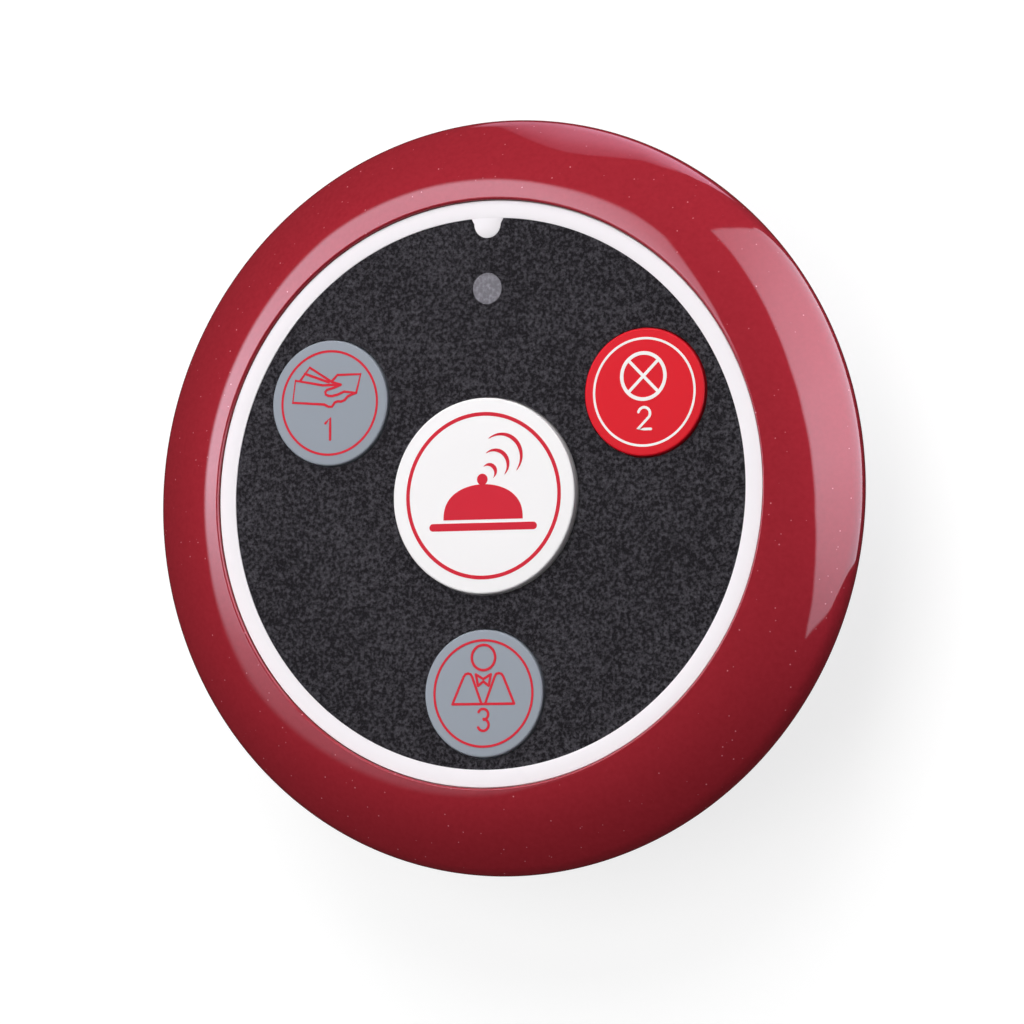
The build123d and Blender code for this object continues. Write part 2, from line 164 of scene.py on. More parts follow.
def gridShape(points, wrapRows=False, wrapColumns=False):
    # points[i, j] is the surface at row i and column j, and each four neighbours are one face.
    rows, columns = points.shape[:2]
    index = np.arange(rows * columns).reshape(rows, columns)
    if wrapRows:
        index = np.vstack([index, index[:1]])
    if wrapColumns:
        index = np.hstack([index, index[:, :1]])
    faces = np.stack([index[:-1, :-1], index[:-1, 1:], index[1:, 1:], index[1:, :-1]], axis=-1)
    return points.reshape(-1, 3), faces.reshape(-1, 4)


def lathe(profile, segments, centre=(0.0, 0.0), reach=None):
    # Surface of revolution: (r, z) goes to (cx + r cos a, cy + r sin a, z) for a round the circle.
    # reach(r, a), where given, is the radius that takes the place of r at angle a.
    angle = np.linspace(0, 2 * pi, segments, endpoint=False)
    r, a = np.meshgrid(profile[:, 0], angle, indexing="ij")
    z = np.repeat(profile[:, 1:2], segments, axis=1)
    if reach is not None:
        r = reach(r, a)
    points = np.concatenate([onCircle(centre, r, a), z[..., None]], axis=-1)
    return gridShape(points, wrapRows=True, wrapColumns=True)


def newObject(name, data):
    thing = bpy.data.objects.new(name, data)
    bpy.context.scene.collection.objects.link(thing)
    return thing


def makePiece(name, shapes, material, body):
    # Shapes go into one mesh; points that meet at a pole are merged and the faces turned outwards.
    starts = np.cumsum([0] + [len(points) for points, faces in shapes])
    mesh = bpy.data.meshes.new(name)
    allFaces = np.vstack([faces + start for (points, faces), start in zip(shapes, starts)])
    mesh.from_pydata(np.vstack([points for points, faces in shapes]), [], allFaces.tolist())
    shell = bmesh.new()
    shell.from_mesh(mesh)
    bmesh.ops.remove_doubles(shell, verts=shell.verts, dist=1e-8)
    bmesh.ops.recalc_face_normals(shell, faces=shell.faces)
    shell.to_mesh(mesh)
    shell.free()
    mesh.shade_smooth()
    mesh.set_sharp_from_angle(angle=radians(sharpAngle))
    mesh.materials.append(material)
    piece = newObject(name, mesh)
    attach(piece, body)
    return piece


# Camera

cameraView = {
    "place": (0.2241, -0.0454, 0.5468),
    "target": (0.0011, -0.0017, 0.0160),
    "roll": 0.3,  # degrees
    "lens": 192.8,  # mm on a sensor 36 mm wide
    "nearest": 0.01,  # where its view starts
}


def addCamera():
    # Looks from its place to its target, with +Y up in the picture.
    place = Vector(cameraView["place"])
    back = (place - Vector(cameraView["target"])).normalized()
    right = Vector((0, 1, 0)).cross(back).normalized()
    turn = Matrix((right, back.cross(right), back)).transposed().to_4x4()
    roll = Matrix.Rotation(radians(cameraView["roll"]), 4, "Z")
    camera = newObject("camera", bpy.data.cameras.new("camera"))
    camera.data.lens = cameraView["lens"]
    camera.data.clip_start = cameraView["nearest"]
    camera.matrix_world = Matrix.Translation(place) @ turn @ roll
    bpy.context.scene.camera = camera


addCamera()
bpy.context.scene.view_settings.view_transform = "Standard"
print("stage: camera")


# Materials, each named for what it is and how it was made

def redLacquer():
    # Metallic lacquer sprayed on moulded ABS and clear coated: a deep red that darkens away from the
    # light, fine flakes whose glints are painted in as pale pink dots here and there, and sharp
    # reflections in the clear coat.
    look = {
        "red": "#a02a34", "deepRed": "#8c1f29", "mottleMm": 0.5, "paintedFlakeGlint": "#d98a92", "flakeMm": 0.2,
        "flakeShare": 0.006,
        "dimShare": 0.4,  # of the flakes, whose painted glint is less than full
        "flakeEdge": (0.5, 0.2),  # where a flake's painted glint ends and where it is full, in flakes from its middle
    }
    material, tree, shader = newMaterial("redLacquer", {
        "Base Color": look["red"], "Metallic": 0.16, "Roughness": 0.5, "Specular IOR Level": 0.0,
        "Coat Weight": 1.0, "Coat Roughness": 0.03, "Coat IOR": 1.5})
    paint = addMix(tree, addNoise(tree, look["mottleMm"], 3.0), look["deepRed"], look["red"])
    place = addNode(tree, "TexCoord").outputs["Object"]
    flakes = addNode(tree, "TexVoronoi", {}, {"Vector": place, "Scale": 1 / (look["flakeMm"] * mm)})
    chance = addNode(tree, "SeparateColor", {}, {"Color": flakes.outputs["Color"]}).outputs["Red"]
    start = 1 - look["flakeShare"]
    paintedGlintLevel = addRange(tree, chance, start, start + look["dimShare"] * look["flakeShare"])
    near = addRange(tree, flakes.outputs["Distance"], *look["flakeEdge"])
    paintedGlint = addMath(tree, "MULTIPLY", paintedGlintLevel, near)
    # Painted glints: a few random flakes get a pale pink base colour, whatever the light.
    setInputs(tree, shader, {"Base Color": addMix(tree, paintedGlint, paint, look["paintedFlakeGlint"])})
    return material


def whiteAbs():
    # ABS moulded white in a polished tool: clean and bright with a soft sheen.
    look = {"white": "#f1edf0", "waveMm": 1.8, "depthMm": 0.1}
    material, tree, shader = newMaterial("whiteAbs", {"Base Color": look["white"], "Roughness": 0.4})
    wave = addNoise(tree, look["waveMm"], 2.0)
    setInputs(tree, shader, {"Normal": addBump(tree, wave, 0.05, look["depthMm"])})
    return material


def grainedFilm(name, dark, light):
    # Polycarbonate film printed on its back, with a velvet face: matt, with a leathery grain and
    # pale flecks. The pairs are the noise at which the dark ends and the light, or a fleck, is full.
    look = {
        "grainMm": 0.36, "patchMm": 8.0, "patchShare": 0.1, "tone": (0.435, 0.705),
        "fineMm": 0.2, "fleck": (0.54, 0.72), "fleckShare": 0.25, "depthMm": 0.03,
    }
    material, tree, shader = newMaterial(name, {
        "Base Color": dark, "Roughness": 0.5, "Specular IOR Level": 0.07})
    grain = addNoise(tree, look["grainMm"], 4.0, roughness=0.6)
    patch = addNoise(tree, look["patchMm"], 2.0)
    fine = addNoise(tree, look["fineMm"], 3.0)
    tone = addRange(tree, addMix(tree, look["patchShare"], grain, patch, "FLOAT"), *look["tone"])
    fleck = addRange(tree, fine, *look["fleck"])
    speck = addNode(tree, "Math", {"operation": "MULTIPLY_ADD", "use_clamp": True}, {
        0: fleck, 1: look["fleckShare"], 2: tone})
    setInputs(tree, shader, {
        "Base Color": addMix(tree, speck.outputs[0], dark, light),
        "Normal": addBump(tree, fine, 0.6, look["depthMm"])})
    return material


def satinAbs(name, colour):
    # ABS moulded in colour with a lightly blasted tool: even tone and a soft, wide highlight.
    look = {"grainMm": 0.2, "depthMm": 0.004}
    material, tree, shader = newMaterial(name, {
        "Base Color": colour, "Roughness": 0.3, "Specular IOR Level": 0.13})
    grain = addNoise(tree, look["grainMm"], 3.0)
    setInputs(tree, shader, {"Normal": addBump(tree, grain, 0.4, look["depthMm"])})
    return material


def padPrint(name, colour):
    # Pad-printed ink: flat colour in a thin even layer, a little glossier in some places.
    look = {"patchMm": 0.4, "roughness": (0.3, 0.45)}
    material, tree, shader = newMaterial(name, {"Base Color": colour, "Specular IOR Level": 0.13})
    patch = addNoise(tree, look["patchMm"], 2.0)
    setInputs(tree, shader, {"Roughness": addRange(tree, patch, 0.0, 1.0, *look["roughness"])})
    return material


def speckled(name, dark, light, grainMm, surface, depthMm=None, detail=3.0, strength=0.3):
    # Stock that differs only in colour, grain and shine; its grain is a twentieth as deep as wide
    # where no depth is given.
    depthMm = depthMm or grainMm / 20
    material, tree, shader = newMaterial(name, {"Base Color": light, **surface})
    grain = addNoise(tree, grainMm, detail)
    setInputs(tree, shader, {
        "Base Color": addMix(tree, grain, dark, light),
        "Normal": addBump(tree, grain, strength, depthMm)})
    return material


finishes = {
    "redLacquer": redLacquer(),
    "whiteAbs": whiteAbs(),
    "blackFilm": grainedFilm("blackFilm", "#0d0c0e", "#4b494e"),
    "clearFilm": grainedFilm("clearFilm", "#727077", "#97959d"),
    "whiteKey": satinAbs("whiteKey", "#f8f6f7"),
    "greyKey": satinAbs("greyKey", "#969da7"),
    "redKey": satinAbs("redKey", "#dc1626"),
    "redInk": padPrint("redInk", "#cf1f33"),
    "whiteInk": padPrint("whiteInk", "#f4f1ef"),
    # ABS moulded in a spark-eroded tool: a sandy grain that scatters the light.
    "sparkedAbs": speckled("sparkedAbs", "#cfcfd2", "#dcdcde", 0.35, {"Roughness": 0.62},
                           depthMm=0.03, detail=4.0, strength=0.7),
    # Moulded rubber: dark and dull, with the dust of a table in its pores.
    "mouldedRubber": speckled("mouldedRubber", "#1b1b1c", "#2b2b2d", 0.5, {"Roughness": 0.8}),
    # Zinc-plated steel: bluish metal, slightly cloudy.
    "zincSteel": speckled("zincSteel", "#9fa4aa", "#b9bdc2", 0.6, {"Metallic": 1.0, "Roughness": 0.32}),
    # Tinned steel sheet: bright and soft, with a satin bloom.
    "tinnedSteel": speckled("tinnedSteel", "#b4b3b0", "#cbcac6", 0.4,
                            {"Metallic": 1.0, "Roughness": 0.28}),
    # Glass-filled black moulding compound: dull with pale specks.
    "blackCompound": speckled("blackCompound", "#141414", "#262626", 0.3, {"Roughness": 0.6}),
    # Solder mask over laminate: glassy green.
    "solderMask": speckled("solderMask", "#0f4a26", "#15592f", 1.2, {"Roughness": 0.3}),
    # Copper track, plated up and left bare: warm metal with a soft shine.
    "platedCopper": speckled("platedCopper", "#b87a48", "#c98d58", 0.4,
                             {"Metallic": 1.0, "Roughness": 0.3}),
    # Fired ceramic of chip parts: pale tan, chalky.
    "firedCeramic": speckled("firedCeramic", "#8e8373", "#a89b88", 0.3, {"Roughness": 0.5}),
    # Cast epoxy lens: red and clear enough to glow.
    "castEpoxy": speckled("castEpoxy", "#b01a18", "#c62a24", 0.5,
                          {"Roughness": 0.15, "Transmission Weight": 0.4}),
    # Heat-shrink sleeve over a steel can: smooth near-black.
    "shrinkSleeve": speckled("shrinkSleeve", "#16171a", "#202227", 0.8, {"Roughness": 0.3}),
}
nodeFinish = {
    "base_shell": "sparkedAbs", "battery_door": "sparkedAbs", "top_case": "whiteAbs",
    "overlay_panel": "blackFilm", "led_window": "clearFilm", "foot_pads": "mouldedRubber",
    "case_screws": "zincSteel", "board_screws": "zincSteel", "circuit_board": "solderMask",
    "antenna_track": "platedCopper", "encoder_chip": "blackCompound", "transistors": "blackCompound",
    "saw_resonator": "tinnedSteel", "chip_passives": "firedCeramic", "status_led": "castEpoxy",
    "led_leads": "tinnedSteel", "battery": "shrinkSleeve", "positive_contact": "tinnedSteel",
    "negative_contact": "tinnedSteel", "switch_bases": "blackCompound", "switch_covers": "tinnedSteel",
    "switch_terminals": "tinnedSteel", "rim_shell": "redLacquer",
    "call_button": "whiteKey", "pay_button": "greyKey", "cancel_button": "redKey",
    "order_button": "greyKey",
}
endingFinish = {"plunger": "blackCompound", "dome": "tinnedSteel"}
for name, node in nodes.items():
    finish = nodeFinish.get(name) or endingFinish[name.split("_")[-1]]
    node.data.materials.clear()
    node.data.materials.append(finishes[finish])
print("stage: materials,", len(finishes), "finishes")


# Rim: one smooth moulding in place of the model's own facets

rim = {
    "crownRadius": 16.9 * mm,  # section of the domed top
    "edgeRadius": 2.5 * mm,  # section of the outer edge
    "bowlRadius": 30.0 * mm,  # section below the edge
    "flatRadius": 29.0 * mm,  # where the bowl would meet the flat bottom
    "flatHeight": 0.6 * mm,
    "crownDrop": 5.8 * mm,  # from the lip down to the middle of the edge round
    "lipRadius": 30.87 * mm,
    "lipHeight": 20.92 * mm,
    "lipRound": 0.25 * mm,
    "wall": 1.8 * mm,  # at the parting line
    "knee": 0.3 * mm,  # inner face outside the middle of the edge round
    "pocketRadius": 33.15 * mm,
    "pocketHeight": 19.0 * mm,
    "flare": 0.2 * mm,  # how far the pocket's wall leans out below its top
    "flareHeight": 1.6 * mm,
    "crownPoints": 40, "edgePoints": 24, "bowlPoints": 6, "roundSteps": 12,
    "segments": 512,
}


def tangentCentre(point, edge, radius, side):
    # Centre of the arc through the point that touches the edge round from inside.
    dx, dz = edge[0] - point[0], edge[1] - point[1]
    span = hypot(dx, dz)
    along = (radius**2 - (radius - rim["edgeRadius"]) ** 2 + span**2) / (2 * span)
    aside = side * sqrt(radius**2 - along**2)
    return (point[0] + (along * dx - aside * dz) / span, point[1] + (along * dz + aside * dx) / span)


def touchPoint(edge, centre):
    # Where the edge round meets the arc about the centre.
    away = np.array(edge) - centre
    return np.array(edge) + away / np.linalg.norm(away) * rim["edgeRadius"]


def arcPoints(centre, radius, first, last, count):
    # Points of a circle between the angles at which two points are seen from its centre.
    start = np.arctan2(first[1] - centre[1], first[0] - centre[0])
    end = np.arctan2(last[1] - centre[1], last[0] - centre[0])
    return onCircle(centre, radius, np.linspace(start, end, count))


def rimProfile():
    # Crown, edge and bowl arcs, each tangent to the next, then the inner faces back up to the lip.
    # The round of the lip takes the place of the crown's first two points.
    low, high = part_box("rim_shell")
    edge = (high.x - rim["edgeRadius"], rim["lipHeight"] - rim["crownDrop"])
    lip = (rim["lipRadius"], rim["lipHeight"])
    crown = tangentCentre(lip, edge, rim["crownRadius"], -1)
    bowl = tangentCentre((rim["flatRadius"], rim["flatHeight"]), edge, rim["bowlRadius"], 1)
    upper, lower = touchPoint(edge, crown), touchPoint(edge, bowl)
    parting = (bowl[0] + sqrt(rim["bowlRadius"] ** 2 - (low.z - bowl[1]) ** 2), low.z)
    corners = [
        *arcPoints(crown, rim["crownRadius"], lip, upper, rim["crownPoints"])[2:],
        *arcPoints(edge, rim["edgeRadius"], upper, lower, rim["edgePoints"])[1:],
        *arcPoints(bowl, rim["bowlRadius"], lower, parting, rim["bowlPoints"])[1:],
        (parting[0] - rim["wall"], low.z),
        (edge[0] + rim["knee"], edge[1]),
        (rim["pocketRadius"] + rim["flare"], rim["pocketHeight"] - rim["flareHeight"]),
        (rim["pocketRadius"], rim["pocketHeight"]),
        (rim["lipRadius"], rim["pocketHeight"]),
    ]
    return softened([(x, z, 0) for x, z in corners] + [(*lip, rim["lipRound"])], rim["roundSteps"])


def makeRim():
    shape = lathe(rimProfile(), rim["segments"])
    piece = makePiece("lacqueredRim", [shape], finishes["redLacquer"], "case")
    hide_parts("rim_shell")


makeRim()
print("stage: rim")


# Ring: the white face round the film, with the tongue of full round tip that keys the film

ringForm = {
    "lap": 0.09 * mm,  # over the film
    "gap": 0.07 * mm,  # inside the lip
    "proud": 0.01 * mm,  # over the model's own ring
    "edge": 0.05 * mm,
    "edgeSteps": 4,
    "tabMouth": 3.7 * mm,
    "tabDepth": 2.13 * mm,
    "tabTip": 1.5 * mm,
    "tabBack": 0.5 * mm,
    "tabDrop": 0.004 * mm,  # keeps the tab's top just under the ring's
    "tabEdge": 0.12 * mm,
    "tipPoints": 49,
}


def ringShape(floor, top):
    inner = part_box("overlay_panel")[1].x - ringForm["lap"]
    outer = rim["lipRadius"] - ringForm["gap"]
    edge = ringForm["edge"]
    corners = [(inner, floor, 0), (outer, floor, 0), (outer, top, edge), (inner, top, edge)]
    return lathe(softened(corners, ringForm["edgeSteps"]), rim["segments"])


def tabShape(floor, top):
    # The mouth's corners, then the tip's half circle; both faces close at the middle of the tip.
    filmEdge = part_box("overlay_panel")[1].y
    radius, bevel = ringForm["tabTip"], ringForm["tabEdge"]
    middle = np.array([0.0, filmEdge - ringForm["tabDepth"] + radius])
    tip = onCircle(middle, radius, np.linspace(-pi, 0, ringForm["tipPoints"]))
    half, back = ringForm["tabMouth"] / 2, filmEdge + ringForm["tabBack"]
    outline = np.vstack([[(-half, back), (-half, filmEdge)], tip, [(half, filmEdge), (half, back)]])
    inset = outline + (middle - outline) * bevel / radius
    centre = np.repeat(middle[None], len(outline), axis=0)
    lines = [centre, outline, outline, inset, centre]
    return gridShape(lineStack(lines, [floor, floor, top - bevel / 2, top, top]), wrapColumns=True)


def makeRing():
    floor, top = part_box("overlay_panel")[1].z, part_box("top_case")[1].z + ringForm["proud"]
    shapes = [ringShape(floor, top), tabShape(floor, top - ringForm["tabDrop"])]
    makePiece("ringFace", shapes, finishes["whiteAbs"], "case")


makeRing()
print("stage: ring")


# Keys: caps with a soft top edge, hollow below, notched for the pins that stop them turning

keyForm = {
    "lap": 1.0 * mm,  # flange beyond the cap
    "flange": 1.0 * mm,
    "edgeRound": 0.22 * mm,
    "edgeSteps": 8,
    "faceRow": 0.5,  # row of points on the face, as a share of the cap's radius
    "top": 1.2 * mm,  # thickness under the face
    "wall": 1.2 * mm,
    "post": 1.6 * mm,
    "postReach": 0.2 * mm,  # post below the flange
    "pinInset": 0.3 * mm,  # pin axis inside the flange's edge
    "pinHole": 0.72 * mm,
    "segments": 256,
}
keyLooks = {
    # name: finish, slot, degrees from +X to one of its two pins
    "call": ("whiteKey", "key_white", 90),
    "pay": ("greyKey", "key_grey", 240),
    "cancel": ("redKey", "key_red", 120),
    "order": ("greyKey", "key_grey", 0),
}


def makeKey(name):
    finish, slot, pinAngle = keyLooks[name]
    low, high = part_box(name + "_button")
    radius = max(high.x - low.x, high.y - low.y) / 2 - keyForm["lap"]
    top, bottom = high.z, low.z + keyForm["postReach"]
    flange, step = radius + keyForm["lap"], bottom + keyForm["flange"]
    inside, ceiling = radius - keyForm["wall"], top - keyForm["top"]
    corners = [
        (0, top, 0), (keyForm["faceRow"] * radius, top, 0), (radius, top, keyForm["edgeRound"]),
        (radius, step, 0), (flange, step, 0), (flange, bottom, 0),
        (inside, bottom, 0), (inside, ceiling, 0), (keyForm["post"], ceiling, 0),
        (keyForm["post"], low.z, 0), (0, low.z, 0),
    ]
    pinOrbit = flange - keyForm["pinInset"]

    def notched(r, a):
        # Inside a pin's angle the flange ends where the ray from the key's axis meets the pin hole.
        off = (a - radians(pinAngle) + pi / 2) % pi - pi / 2
        across = keyForm["pinHole"] ** 2 - (pinOrbit * np.sin(off)) ** 2
        edge = pinOrbit * np.cos(off) - np.sqrt(np.clip(across, 0, None))
        return np.where((across > 0) & (r > edge), edge, r)

    profile = softened(corners, keyForm["edgeSteps"])
    shape = lathe(profile, keyForm["segments"], middleOf(low, high), notched)
    piece = makePiece(name + "Cap", [shape], finishes[finish], name + "_key")
    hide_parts(name + "_button")


for name in keyLooks:
    makeKey(name)
print("stage: keys")


# Snap discs: thin steel domes under the keys

domeForm = {"sheet": 0.1 * mm, "travel": 0.4 * mm, "steps": 24, "segments": 96}


def makeDome(name):
    # z = top - rise (r / reach)^2 for the upper face, and the sheet's thickness less for the lower one.
    low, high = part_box(name + "_dome")
    centre, reach = middleOf(low, high), (high.x - low.x) / 2
    r = np.linspace(0, reach, domeForm["steps"])
    upper = high.z - (high.z - low.z - domeForm["sheet"]) * (r / reach) ** 2
    faces = [np.stack([r, upper], axis=-1), np.stack([r, upper - domeForm["sheet"]], axis=-1)[::-1]]
    shape = lathe(np.vstack(faces), domeForm["segments"], centre)
    piece = makePiece(name + "Disc", [shape], finishes["tinnedSteel"], "case")
    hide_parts(name + "_dome")
    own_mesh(piece)


for name in keyLooks:
    makeDome(name)
print("stage: snap discs")


# Prints on the keys: raised ink, drawn in millimetres from the middle of each key's face

ink = {
    "thick": 0.02,
    "lift": 0.1,  # share of the thickness by which each mark stands over the one before
    "arcStep": 3.0,  # degrees
    "capPoints": 6,  # on each round end of a line
    "line": 0.27,  # width of most lines
}
borders = {
    # name: radius, width
    "call": (8.58, 0.4), "pay": (5.5, 0.25), "cancel": (5.58, 0.25), "order": (5.55, 0.25),
}


def arcPath(middle, radius, first, last):
    # Points of an arc, by angle in degrees.
    count = int(abs(last - first) / ink["arcStep"]) + 2
    return onCircle(middle, radius, np.radians(np.linspace(first, last, count)))


def circlePath(middle, radius):
    return arcPath(middle, radius, 0, 360)[:-1]


def inkShape(left, right, **wrap):
    # Two lines on the key and again at the top of the ink, as one shape.
    return gridShape(lineStack([left, right, right, left], [0, 0, ink["thick"], ink["thick"]]), **wrap)


def inkLine(path, width, closed=False, swell=False):
    # A flat bar along the path: half the width to each side, with round ends where it is open.
    # One that swells is a crescent, its half width times the sine of the share of its length.
    path, count = np.asarray(path, float), ink["capPoints"]
    if not closed:
        ends = np.array([path[0] - path[1], path[-1] - path[-2]])
        ends = ends / np.linalg.norm(ends, axis=1)[:, None]
        cap = np.cos(np.linspace(0, pi / 2, count))[:, None] * width / 2
        path = np.vstack([path[0] + ends[0] * cap, path[1:-1], path[-1] + ends[1] * cap[::-1]])
    ahead = np.roll(path, -1, axis=0) - np.roll(path, 1, axis=0)
    half = np.full(len(path), width / 2)
    if not closed:
        ahead[0], ahead[-1] = path[1] - path[0], path[-1] - path[-2]
        half[:count] *= np.sin(np.linspace(0, pi / 2, count))
        half[-count:] *= np.sin(np.linspace(pi / 2, 0, count))
    if swell:
        half *= np.sin(np.linspace(0, pi, len(path)))
    ahead = ahead / np.linalg.norm(ahead, axis=1)[:, None]
    side = np.stack([-ahead[:, 1], ahead[:, 0]], axis=-1) * half[:, None]
    return inkShape(path + side, path - side, wrapRows=True, wrapColumns=closed)


def inkBorder(name):
    radius, width = borders[name]
    return inkLine(circlePath((0, 0), radius), width, closed=True)


def inkArea(outline):
    # A filled shape: the outline drawn in to its own middle on both faces.
    middle = np.repeat(outline.mean(axis=0)[None], len(outline), axis=0)
    return inkShape(middle, outline, wrapColumns=True)


def numeralPaths(number):
    # A plain figure 2.3 mm high in the place under a mark, as lines and arcs.
    place = np.array([0.0, -2.75])
    paths = {
        1: [[(-0.45, 0.6), (0.1, 1.15), (0.1, 0.0), (0.1, -1.15)]],
        2: [[*arcPath((0, 0.5), 0.65, 165, -35), (-0.72, -1.12), (0.0, -1.12), (0.75, -1.12)]],
        3: [arcPath((0, 0.57), 0.57, 155, -80), arcPath((0, -0.53), 0.62, 85, -155)],
    }
    return [np.array(path) + place for path in paths[number]]


def callPrint():
    # Border, a counter bell and the waves of its call. The bell's outline is
    # (half cos u, foot + height sin(u)^power), for u from one end of its foot to the other.
    bell = {"half": 4.5, "height": 3.7, "foot": -2.5, "power": 0.8, "points": 40}
    look = {"plateWidth": 0.8, "waveWidth": 0.42, "waveFirst": 121, "waveLast": -35}
    u = np.linspace(pi, 0, bell["points"])
    rise = bell["height"] * np.sin(u) ** bell["power"]
    outline = np.stack([bell["half"] * np.cos(u), bell["foot"] + rise], axis=-1)
    plate = [(-5.7, -3.25), (0.0, -3.25), (5.7, -3.25)]
    knob = circlePath((-0.1, 1.7), 0.6)
    waves = [((0.6, 2.45), 0.8), ((1.25, 3.2), 1.55), ((1.95, 4.05), 2.35)]
    shapes = [inkBorder("call"), inkArea(outline), inkLine(plate, look["plateWidth"]), inkArea(knob)]
    for middle, radius in waves:
        wave = arcPath(middle, radius, look["waveFirst"], look["waveLast"])
        shapes.append(inkLine(wave, look["waveWidth"], swell=True))
    return shapes


def payPrint():
    # Border and a hand, with its cuff, that holds out three banknotes.
    notes = [
        [(1.3, 1.9), (-0.8, 1.9), (-4.0, 2.5), (-4.3, 0.15), (-0.6, -0.15)],
        [(-3.45, 2.45), (-2.35, 3.85), (0.3, 2.2), (1.3, 1.9)],
        [(-2.9, 3.2), (-0.1, 2.2)],
    ]
    hand = [(0.3, 2.35), (0.9, 2.95), (3.6, 2.95), (3.1, 1.0), (1.7, 1.15), (0.9, 0.85), (0.3, 0.72),
            (-0.1, 0.75), (-0.45, 0.92), (-0.5, 1.2), (-0.3, 1.4), (0.5, 1.6), (1.3, 1.9)]
    palm = [(-0.6, -0.15), (-0.1, -0.4), (0.3, -0.4), (0.6, 0.02), (0.95, 0.15), (1.35, 0.1),
            (1.75, 0.25), (2.1, 0.62), (2.5, 0.8), (3.1, 1.0)]
    paths = [*notes, hand, palm, *numeralPaths(1)]
    return [inkBorder("pay")] + [inkLine(path, ink["line"]) for path in paths]


def cancelPrint():
    # Border and a crossed circle.
    look = {"middle": (-0.1, 1.65), "radius": 2.4, "circle": 0.38, "cross": 0.33, "numeral": 0.28}
    (x, y), reach = look["middle"], look["radius"] * cos(pi / 4)
    circle = circlePath(look["middle"], look["radius"])
    rising = [(x - reach, y - reach), (x, y), (x + reach, y + reach)]
    falling = [(x - reach, y + reach), (x, y), (x + reach, y - reach)]
    return [inkLine(path, look["numeral"]) for path in numeralPaths(2)] + [
        inkBorder("cancel"), inkLine(circle, look["circle"], closed=True),
        inkLine(rising, look["cross"]), inkLine(falling, look["cross"])]


def orderPrint():
    # Border and a waiter: jacket with its lapels, bow tie and head.
    left = [(-3.5, -1.1), (-2.25, 1.75), (-2.05, 2.02), (-1.75, 2.1), (-1.45, 2.02), (-1.3, 1.8),
            (-0.2, -1.1)]
    right = [(-x, y) for x, y in left]
    hem = [(-3.5, -1.1), (0.0, -1.1), (3.5, -1.1)]
    tie = [(-0.85, 2.0), (0.0, 1.5), (0.85, 2.0), (0.6, 0.8), (0.0, 1.25), (-0.6, 0.8), (-0.85, 2.0)]
    head = circlePath((0, 3.75), 1.32)
    paths = [left, right, hem, *zip(tie, tie[1:]), *numeralPaths(3)]
    return [inkLine(path, ink["line"]) for path in paths] + [
        inkBorder("order"), inkLine(head, ink["line"], closed=True)]


def makePrint(name, marks, finish):
    # Marks that cross lie one over the other.
    low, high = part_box(name + "_button")
    for order, (points, faces) in enumerate(marks):
        points[:, 2] *= 1 + ink["lift"] * order
        points *= mm
        points += (*middleOf(low, high), high.z)
    makePiece(name + "Print", marks, finishes[finish], name + "_key")


makePrint("call", callPrint(), "redInk")
makePrint("pay", payPrint(), "redInk")
makePrint("cancel", cancelPrint(), "whiteInk")
makePrint("order", orderPrint(), "redInk")
print("stage: prints")


# Floor, lamps and the glowing cards that the lacquer mirrors

